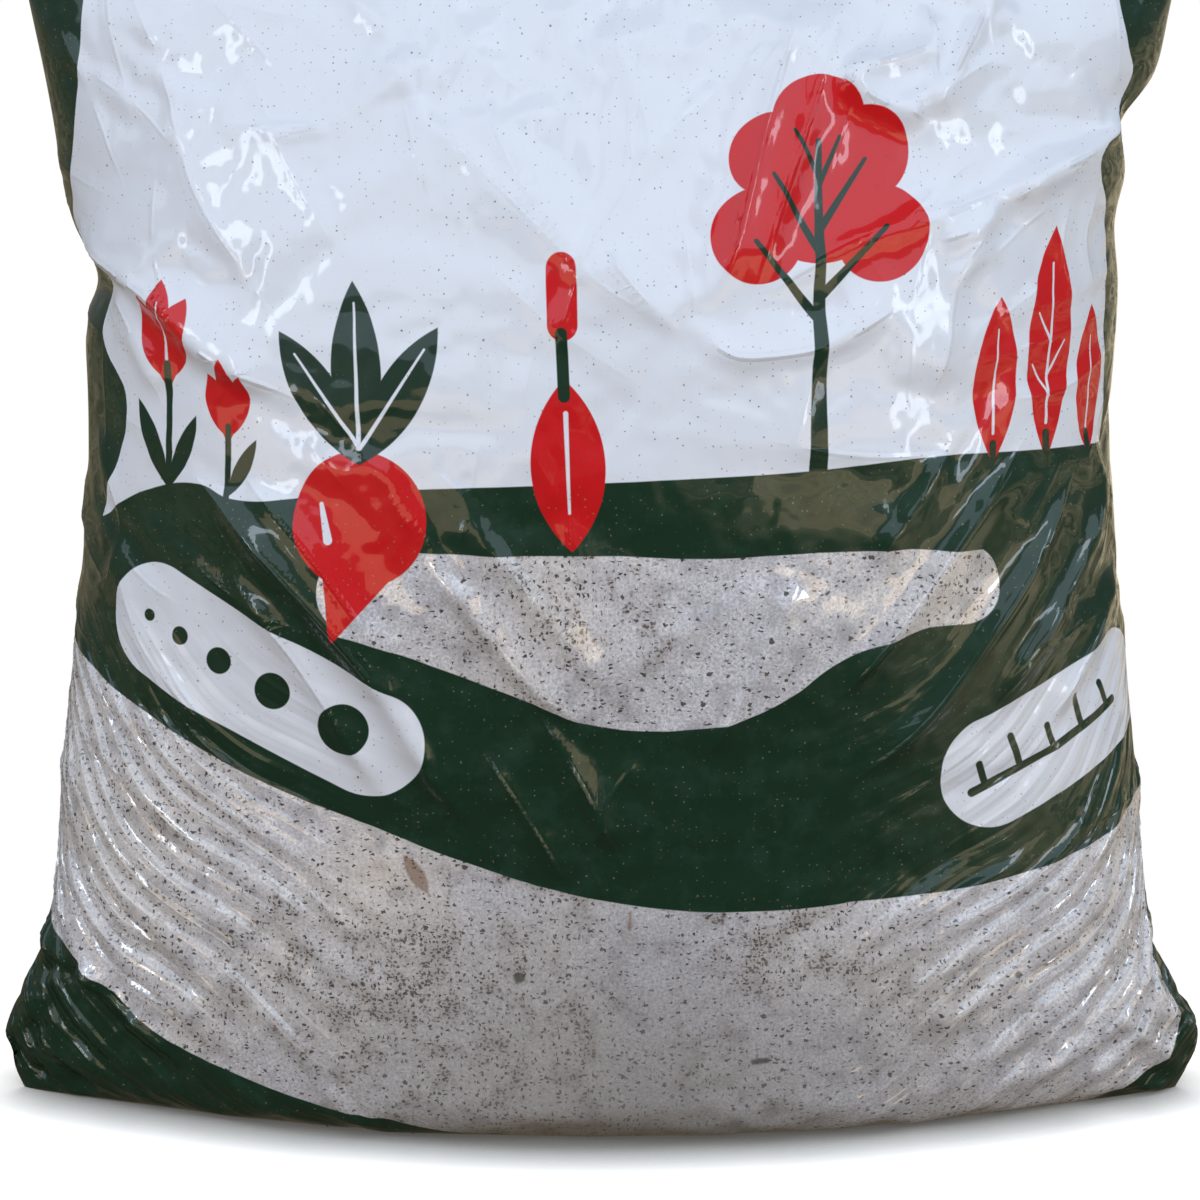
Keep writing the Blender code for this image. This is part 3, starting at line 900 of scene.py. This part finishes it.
# Grit. Grains of tuff dust that cling to the film, thickest over the brown patches low on the front.
# Each is a chip of porous stone, held by static and a little damp.
GRAINS_PER_SQUARE_METRE = 40000
LARGEST_GRAIN = 0.0008
DIRTY_PLACES = (
    (-0.070, 0.092, 0.034, 1.0), (0.052, 0.100, 0.024, 1.0), (0.008, 0.226, 0.022, 0.6),
    (-0.03, 0.05, 0.1, 0.06),
)
CHIP_DARK = (0.035, 0.026, 0.022)
CHIP_PALE = (0.20, 0.13, 0.085)

columns, rows = np.meshgrid(across, up)
dirt = sum(
    share * np.exp(-(((columns - u) ** 2 + (rows - v) ** 2) / spread**2))
    for u, v, spread, share in DIRTY_PLACES
)
grit_shape = film_shape.copy()
layer = grit_shape.attributes.new("dirt", "FLOAT", "POINT")
layer.data.foreach_set("value", dirt.astype(np.float32).ravel())
grit = bpy.data.objects.new("stuck_grit", grit_shape)
bpy.context.scene.collection.objects.link(grit)

stone_chip = bpy.data.materials.new("tuff_grain")
stone_chip.use_nodes = True
nodes, links = stone_chip.node_tree.nodes, stone_chip.node_tree.links
nodes.clear()
spot = nodes.new("ShaderNodeTexCoord")
pores = nodes.new("ShaderNodeTexNoise")
pores.inputs["Scale"].default_value = 900
links.new(spot.outputs["Object"], pores.inputs["Vector"])
chip = nodes.new("ShaderNodeBsdfPrincipled")
fill_in(chip.inputs["Base Color"], tinted(CHIP_DARK, CHIP_PALE, clamped(Field(pores.outputs[0]) * 4 - 1.5)))
chip.inputs["Roughness"].default_value = 0.85
pitted = nodes.new("ShaderNodeBump")
pitted.inputs["Distance"].default_value = 0.0002
links.new(pores.outputs[0], pitted.inputs["Height"])
links.new(pitted.outputs[0], chip.inputs["Normal"])
output = nodes.new("ShaderNodeOutputMaterial")
links.new(chip.outputs[0], output.inputs["Surface"])

scatter = bpy.data.node_groups.new("grit_on_film", "GeometryNodeTree")
sockets = {}
for name, kind, way in (
    ("Film", "NodeSocketGeometry", "INPUT"), ("Grains per square metre", "NodeSocketFloat", "INPUT"),
    ("Largest grain", "NodeSocketFloat", "INPUT"), ("Grit", "NodeSocketGeometry", "OUTPUT"),
):
    sockets[name] = scatter.interface.new_socket(name, in_out=way, socket_type=kind).identifier
given, result = scatter.nodes.new("NodeGroupInput"), scatter.nodes.new("NodeGroupOutput")
strewn = scatter.nodes.new("GeometryNodeDistributePointsOnFaces")
strewn.inputs["Seed"].default_value = 11
where = scatter.nodes.new("GeometryNodeInputNamedAttribute")
where.data_type = "FLOAT"
where.inputs["Name"].default_value = "dirt"
density = scatter.nodes.new("ShaderNodeMath")
density.operation = "MULTIPLY"
grain = scatter.nodes.new("GeometryNodeMeshIcoSphere")
grain.inputs["Subdivisions"].default_value = 1
chance_size = scatter.nodes.new("FunctionNodeRandomValue")
chance_size.data_type = "FLOAT_VECTOR"
chance_size.inputs["Min"].default_value = (0.3, 0.3, 0.2)
chance_size.inputs["Max"].default_value = (1.0, 0.8, 0.6)
chance_size.inputs["Seed"].default_value = 5
size = scatter.nodes.new("ShaderNodeVectorMath")
size.operation = "SCALE"
chance_turn = scatter.nodes.new("FunctionNodeRandomValue")
chance_turn.data_type = "FLOAT_VECTOR"
chance_turn.inputs["Max"].default_value = (6.28, 6.28, 6.28)
chance_turn.inputs["Seed"].default_value = 8
placed = scatter.nodes.new("GeometryNodeInstanceOnPoints")
real = scatter.nodes.new("GeometryNodeRealizeInstances")
coated = scatter.nodes.new("GeometryNodeSetMaterial")
coated.inputs["Material"].default_value = stone_chip
for source, drain in (
    (given.outputs["Film"], strewn.inputs["Mesh"]),
    (where.outputs[0], density.inputs[0]),
    (given.outputs["Grains per square metre"], density.inputs[1]),
    (density.outputs[0], strewn.inputs["Density"]),
    (strewn.outputs["Points"], placed.inputs["Points"]),
    (grain.outputs["Mesh"], placed.inputs["Instance"]),
    (chance_size.outputs[0], size.inputs[0]),
    (given.outputs["Largest grain"], size.inputs["Scale"]),
    (size.outputs[0], placed.inputs["Scale"]),
    (chance_turn.outputs[0], placed.inputs["Rotation"]),
    (placed.outputs["Instances"], real.inputs["Geometry"]),
    (real.outputs["Geometry"], coated.inputs["Geometry"]),
    (coated.outputs["Geometry"], result.inputs["Grit"]),
):
    scatter.links.new(source, drain)
strewing = grit.modifiers.new("strewn", "NODES")
strewing.node_group = scatter
strewing[sockets["Grains per square metre"]] = float(GRAINS_PER_SQUARE_METRE)
strewing[sockets["Largest grain"]] = LARGEST_GRAIN
grains = bpy.data.meshes.new_from_object(grit.evaluated_get(bpy.context.evaluated_depsgraph_get()))
grit.modifiers.clear()
grit.data = grains
bpy.data.meshes.remove(grit_shape)
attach(grit, "root")


# The studio. A white floor that keeps the bag's shadow and shows sunlit ground in the film's gloss,
# two wide lamps for an open sky, two narrow ones that pick out the pleats, two warm ones for the
# light from the ground, one behind, and the camera.
floor_mesh = bpy.data.meshes.new("floor")
floor_mesh.from_pydata([(-6, -6, 0), (6, -6, 0), (6, 6, 0), (-6, 6, 0)], [], [(0, 1, 2, 3)])
floor = bpy.data.objects.new("floor", floor_mesh)
bpy.context.scene.collection.objects.link(floor)
floor_material = bpy.data.materials.new("white_floor")
floor_material.use_nodes = True
nodes, links = floor_material.node_tree.nodes, floor_material.node_tree.links
nodes.clear()
path = nodes.new("ShaderNodeLightPath")
bounce = nodes.new("ShaderNodeBsdfDiffuse")
bounce.inputs["Color"].default_value = (0.22, 0.185, 0.14, 1)
near = nodes.new("ShaderNodeBsdfDiffuse")
# Painted shadow: ambient occlusion darkens the floor's colour and glow near the bag, over its real shadow.
painted_contact_shade = nodes.new("ShaderNodeAmbientOcclusion")
painted_contact_shade.samples = 4
painted_contact_shade.inputs["Distance"].default_value = 0.025
depth = laid("ShaderNodeMath", "POWER", Field(painted_contact_shade.outputs["AO"]), 1.6)
depth = laid("ShaderNodeMath", "MULTIPLY_ADD", depth, 0.88, 0.12)
fill_in(near.inputs["Color"], depth)
glow = nodes.new("ShaderNodeEmission")
glow.inputs["Color"].default_value = (1, 0.94, 0.86, 1)
fill_in(glow.inputs["Strength"], depth * 0.56)
lifted = nodes.new("ShaderNodeAddShader")
links.new(near.outputs[0], lifted.inputs[0])
links.new(glow.outputs[0], lifted.inputs[1])
white = nodes.new("ShaderNodeEmission")
white.inputs["Strength"].default_value = 1.0
spot = nodes.new("ShaderNodeTexCoord")
footprints = laid("ShaderNodeVectorMath", "MULTIPLY", Field(spot.outputs["Object"]), (3.5, 6.6, 0))
footprints = laid("ShaderNodeVectorMath", "LENGTH", footprints, out=1)
far = laid("ShaderNodeMath", "MULTIPLY_ADD", footprints, 1.4, -1.1, clamp=True)
reach = nodes.new("ShaderNodeMixShader")
fill_in(reach.inputs[0], far)
links.new(lifted.outputs[0], reach.inputs[1])
links.new(white.outputs[0], reach.inputs[2])
sunlit = nodes.new("ShaderNodeEmission")
sunlit.inputs["Color"].default_value = (1, 0.84, 0.56, 1)
patches = nodes.new("ShaderNodeTexNoise")
patches.inputs["Scale"].default_value = 2.6
links.new(spot.outputs["Object"], patches.inputs["Vector"])
split = nodes.new("ShaderNodeSeparateXYZ")
links.new(spot.outputs["Object"], split.inputs[0])
aside = clamped(Field(split.outputs[0]) * 3 - 0.6) + clamped(Field(split.outputs[0]) * -3 - 1.2) * 0.3
fill_in(sunlit.inputs["Strength"], clamped(Field(patches.outputs[0]) * 4 - 1.5) * aside * 1.1 + 0.1)
mirrored = nodes.new("ShaderNodeMixShader")
links.new(path.outputs["Is Glossy Ray"], mirrored.inputs[0])
links.new(bounce.outputs[0], mirrored.inputs[1])
links.new(sunlit.outputs[0], mirrored.inputs[2])
choice = nodes.new("ShaderNodeMixShader")
links.new(path.outputs["Is Camera Ray"], choice.inputs[0])
links.new(mirrored.outputs[0], choice.inputs[1])
links.new(reach.outputs[0], choice.inputs[2])
output = nodes.new("ShaderNodeOutputMaterial")
links.new(choice.outputs[0], output.inputs["Surface"])
floor_mesh.materials.append(floor_material)

world = bpy.context.scene.world or bpy.data.worlds.new("studio")
bpy.context.scene.world = world
world.use_nodes = True
tree = world.node_tree
tree.nodes.clear()
output = tree.nodes.new("ShaderNodeOutputWorld")
mix = tree.nodes.new("ShaderNodeMixShader")
seen = tree.nodes.new("ShaderNodeBackground")
seen.inputs["Color"].default_value = (1, 1, 1, 1)
seen.inputs["Strength"].default_value = 1.0
fill = tree.nodes.new("ShaderNodeBackground")
fill.inputs["Color"].default_value = (0.95, 0.93, 0.88, 1)
fill.inputs["Strength"].default_value = 0.2
path = tree.nodes.new("ShaderNodeLightPath")
tree.links.new(path.outputs["Is Camera Ray"], mix.inputs[0])
tree.links.new(fill.outputs[0], mix.inputs[1])
tree.links.new(seen.outputs[0], mix.inputs[2])
tree.links.new(mix.outputs[0], output.inputs["Surface"])


def area_lamp(name, place, aim, size, power, colour):
    lamp = bpy.data.lights.new(name, "AREA")
    lamp.shape = "RECTANGLE"
    lamp.size, lamp.size_y = size
    lamp.energy = power
    lamp.color = colour
    holder = bpy.data.objects.new(name, lamp)
    holder.location = place
    turn = np.array(aim) - np.array(place)
    holder.rotation_euler = mathutils.Vector(turn).to_track_quat("-Z", "Y").to_euler()
    bpy.context.scene.collection.objects.link(holder)


area_lamp("left_sky", (-1.15, -1.25, 1.45), (0, 0, 0.25), (2.5, 1.9), 21.5, (0.70, 0.84, 1))
area_lamp("right_sky", (1.15, -1.2, 1.45), (0, 0, 0.25), (2.4, 1.9), 23, (0.68, 0.84, 1))
area_lamp("left_gleam", (-1.05, -1.2, 0.5), (0, 0, 0.15), (0.16, 0.8), 3.0, (0.78, 0.88, 1))
area_lamp("right_gleam", (1.15, -1.05, 0.5), (0, 0, 0.15), (0.16, 0.8), 3.2, (0.78, 0.88, 1))
area_lamp("left_ground", (-0.75, -1.0, 0.06), (0, 0, 0.2), (1.0, 0.5), 2.5, (1, 0.74, 0.45))
area_lamp("right_ground", (0.8, -0.9, 0.06), (0, 0, 0.2), (0.9, 0.5), 2.3, (1, 0.74, 0.45))
area_lamp("back", (0.3, 1.7, 1.6), (0, 0, 0.3), (2.4, 1.5), 14, (0.92, 0.96, 1))


ELEVATION = math.radians(12.5)
DISTANCE = 1.2
SIGHT_WIDTH = 0.474
AIM = mathutils.Vector((0, 0, 0.2026))
camera_data = bpy.data.cameras.new("camera")
camera_data.sensor_width = 36
camera_data.lens = camera_data.sensor_width * DISTANCE / SIGHT_WIDTH
camera = bpy.data.objects.new("camera", camera_data)
away = mathutils.Vector((0, -math.cos(ELEVATION), math.sin(ELEVATION)))
camera.location = AIM + away * DISTANCE
camera.rotation_euler = (-away).to_track_quat("-Z", "Y").to_euler()
bpy.context.scene.collection.objects.link(camera)
bpy.context.scene.camera = camera
bpy.context.scene.view_settings.view_transform = "Standard"
